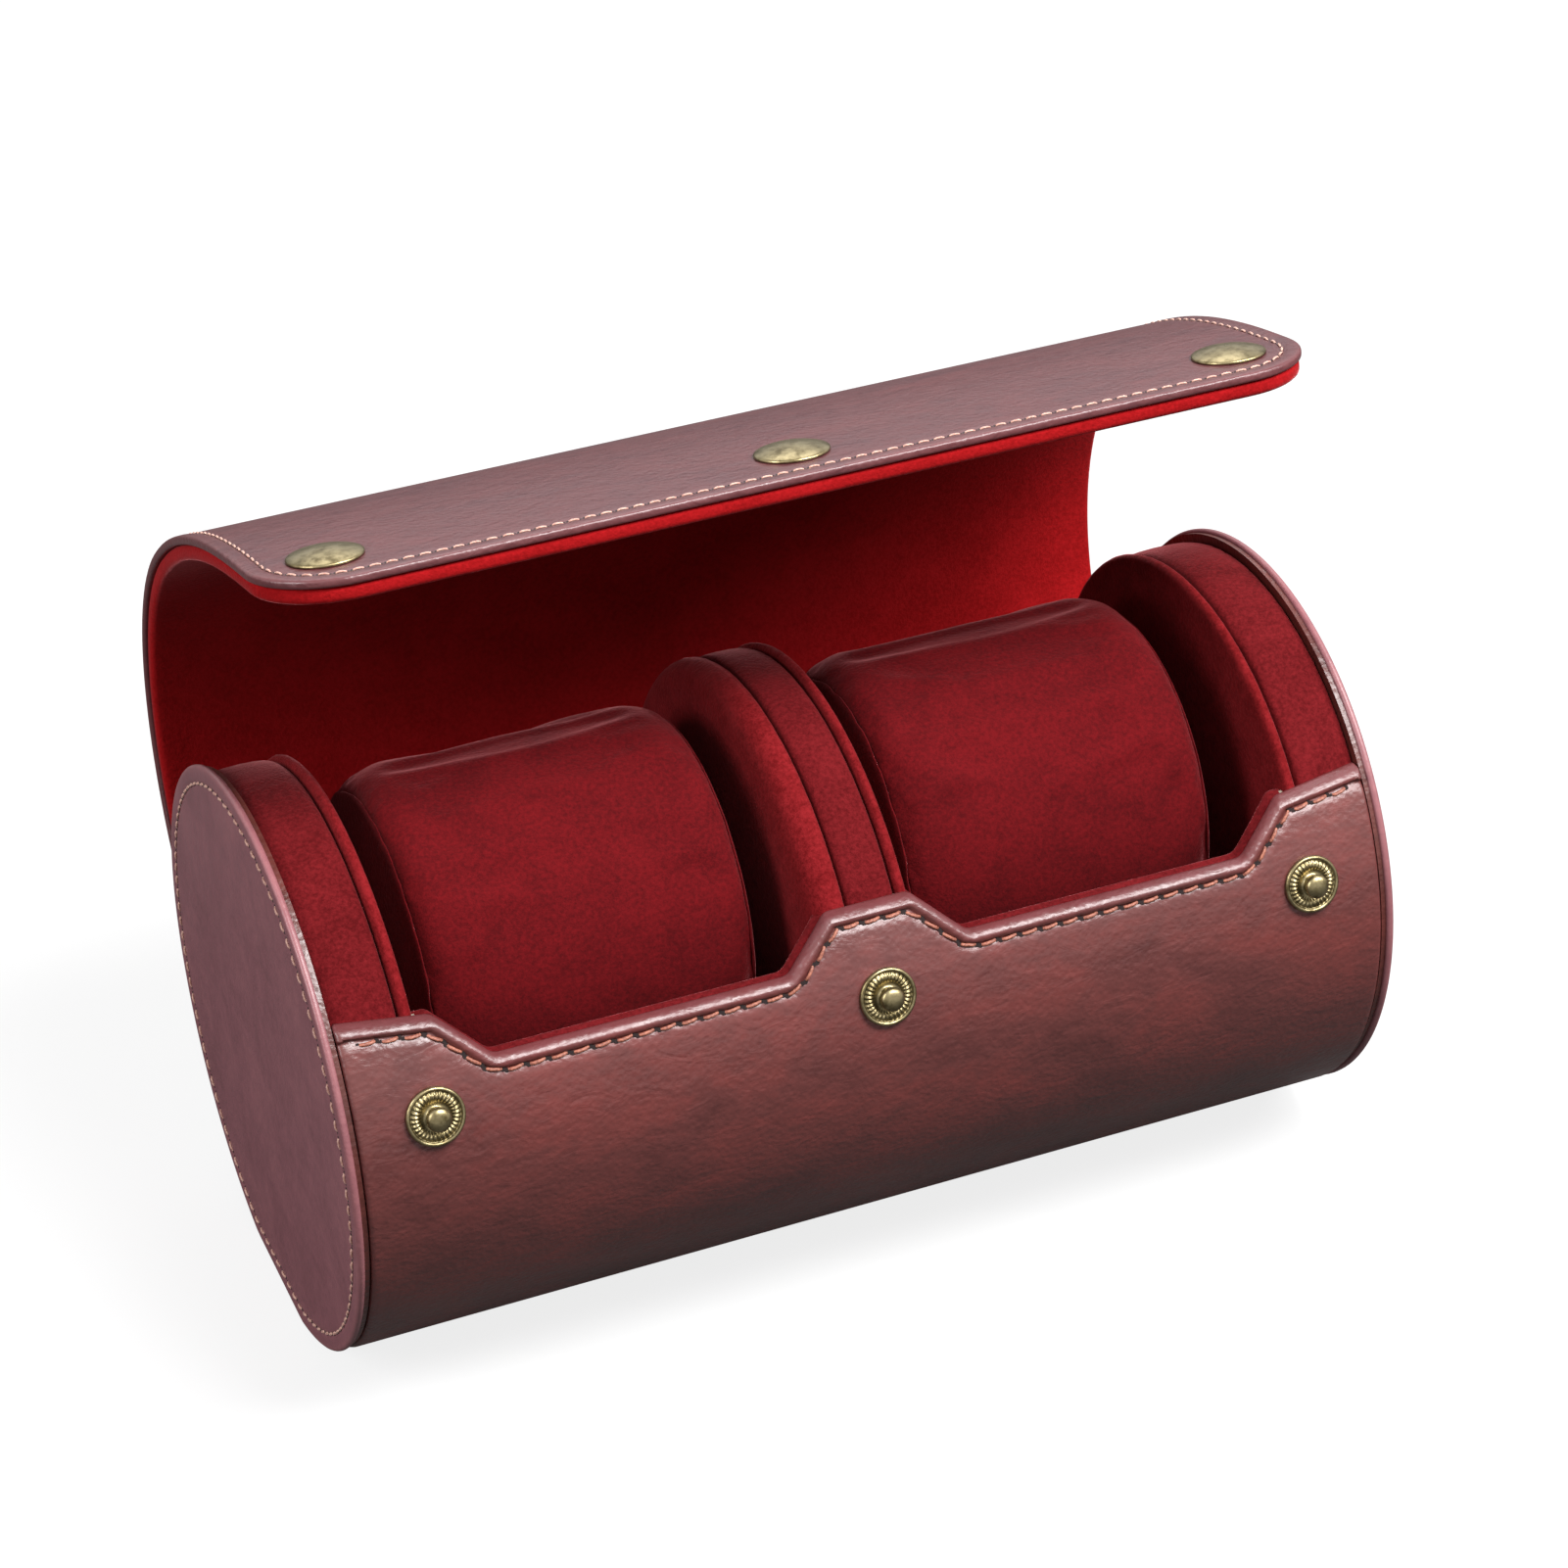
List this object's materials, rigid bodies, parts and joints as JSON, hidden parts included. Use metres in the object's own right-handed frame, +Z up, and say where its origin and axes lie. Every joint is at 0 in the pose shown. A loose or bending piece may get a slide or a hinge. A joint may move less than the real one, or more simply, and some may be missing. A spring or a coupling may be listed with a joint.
{
  "type": "watch roll",
  "caption": "Cylindrical leather travel roll for wristwatches, with a hinged wrap-round lid, snap fasteners, a divider and lift-out pillows.",
  "frame": {"origin": "centre of the small flat that the roll rests on, under the middle of the tube", "axes": "+X along the roll to the right end cap, -Y to the front where the snaps are, +Z up"},
  "size_m": [0.18, 0.1145, 0.1468],
  "materials": {
    "grained_leather": "waxed, mottled",
    "cap_leather": "smooth",
    "suede": "microsuede",
    "suede_welt": "microsuede over a rolled edge",
    "stiffening_board": "plain",
    "antique_brass": "antiqued, satin",
    "foam": "open foam"
  },
  "bodies": {
    "body": {"body_leather": "grained_leather", "body_board": "stiffening_board", "left_lining": "suede", "right_lining": "suede", "hinge_fold": "grained_leather", "left_cap_leather": "cap_leather", "left_cap_backing": "cap_leather", "left_drum": "suede", "left_cheek": "suede_welt", "right_cap_leather": "cap_leather", "right_cap_backing": "cap_leather", "right_drum": "suede", "right_cheek": "suede_welt", "divider_band": "suede", "divider_left_cheek": "suede_welt", "divider_right_cheek": "suede_welt", "snap_studs": "antique_brass", "stud_rivets": "antique_brass"},
    "lid_back": {"lid_back_leather": "grained_leather", "lid_back_board": "stiffening_board", "lid_back_lining": "suede"},
    "lid_brow": {"lid_brow_leather": "grained_leather", "lid_brow_board": "stiffening_board", "lid_brow_lining": "suede"},
    "lid_crown": {"lid_crown_leather": "grained_leather", "lid_crown_board": "stiffening_board", "lid_crown_lining": "suede"},
    "lid_front": {"lid_front_leather": "grained_leather", "lid_front_board": "stiffening_board", "lid_front_lining": "suede"},
    "lid_flap": {"lid_flap_leather": "grained_leather", "lid_flap_board": "stiffening_board", "lid_flap_lining": "suede", "snap_caps": "antique_brass", "snap_sockets": "antique_brass", "socket_springs": "antique_brass"},
    "left_pillow": {"left_pillow_cover": "suede", "left_pillow_ends": "suede", "left_pillow_foam": "foam"},
    "right_pillow": {"right_pillow_cover": "suede", "right_pillow_ends": "suede", "right_pillow_foam": "foam"}
  },
  "joints": [
    {"name": "lid_hinge", "type": "hinge", "parent": "body", "child": "lid_back", "pos_m": [0, 0.04753, 0.04031], "axis": [1, 0, 0], "range_deg": [-65, 37.78]},
    {"name": "lid_flex_1", "type": "hinge", "parent": "lid_back", "child": "lid_brow", "pos_m": [0, 0.04753, 0.11009], "axis": [1, 0, 0], "range_deg": [0, 6.02]},
    {"name": "lid_flex_2", "type": "hinge", "parent": "lid_brow", "child": "lid_crown", "pos_m": [0, 0.03191, 0.12251], "axis": [1, 0, 0], "range_deg": [0, 10.75]},
    {"name": "lid_flex_3", "type": "hinge", "parent": "lid_crown", "child": "lid_front", "pos_m": [0, 0.01692, 0.13048], "axis": [1, 0, 0], "range_deg": [0, 11.91]},
    {"name": "lid_flex_4", "type": "hinge", "parent": "lid_front", "child": "lid_flap", "pos_m": [0, 0.00203, 0.13635], "axis": [1, 0, 0], "range_deg": [0, 19.21]},
    {"name": "left_pillow_lift", "type": "slide", "parent": "body", "child": "left_pillow", "axis": [0, 0, 1], "range_m": [0, 0.0025]},
    {"name": "right_pillow_lift", "type": "slide", "parent": "body", "child": "right_pillow", "axis": [0, 0, 1], "range_m": [0, 0.0025]}
  ],
  "couplings": [
    {"joint": "lid_flex_2", "follows": "lid_flex_1", "ratio": 1.783},
    {"joint": "lid_flex_3", "follows": "lid_flex_1", "ratio": 1.9759},
    {"joint": "lid_flex_4", "follows": "lid_flex_1", "ratio": 3.1875}
  ]
}
